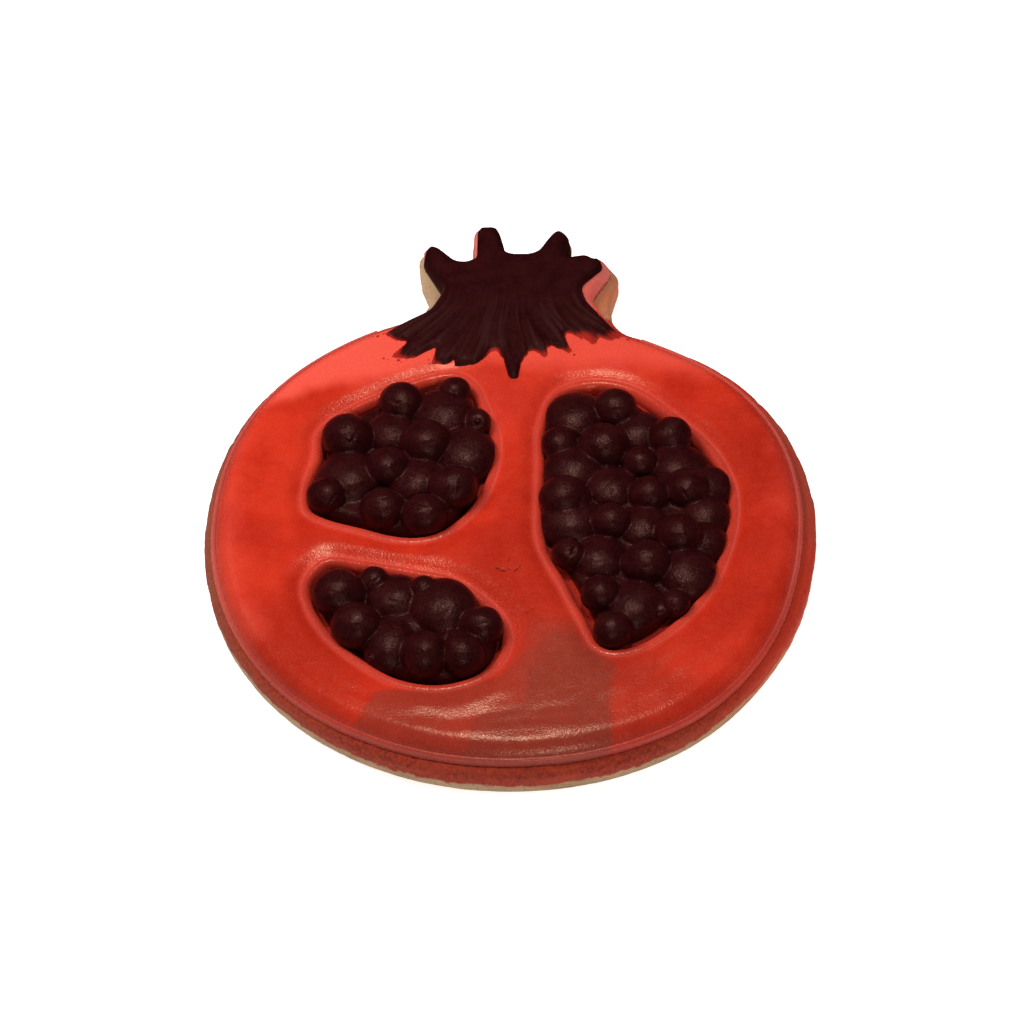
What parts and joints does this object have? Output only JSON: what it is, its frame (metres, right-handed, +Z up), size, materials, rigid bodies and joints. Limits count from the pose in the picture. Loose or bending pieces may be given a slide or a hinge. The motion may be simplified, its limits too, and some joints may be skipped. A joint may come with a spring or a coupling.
{
  "type": "iced sugar biscuit",
  "caption": "Flat sugar biscuit cut and iced as a pomegranate, with red icing, wells of dark piped seeds and a dark brushed crown.",
  "frame": {"origin": "centre of the round body on the flat underside", "axes": "+Z up through the icing, +Y from the centre of the body to the crown, +X to the right as seen from above with the crown at the top"},
  "size_m": [0.0904, 0.1073, 0.0101],
  "materials": {
    "biscuit": "dry baked dough, pale tan at the side, tinted brick red round the icing",
    "red_icing": "satin royal icing, orange red, slightly translucent at thin edges",
    "red_icing_rope": "satin royal icing, piped, with pale pinkish edges",
    "dark_icing": "matt dark maroon royal icing with brush streaks",
    "seed_icing": "satin dark maroon royal icing drops"
  },
  "bodies": {
    "root": {"biscuit": "biscuit", "rim_rope": "red_icing_rope", "red_flood": "red_icing", "well_rope_upper": "red_icing_rope", "well_rope_lower": "red_icing_rope", "well_rope_right": "red_icing_rope", "crown_icing": "dark_icing", "seeds_upper": "seed_icing", "seeds_lower": "seed_icing", "seeds_right": "seed_icing"}
  },
  "joints": []
}
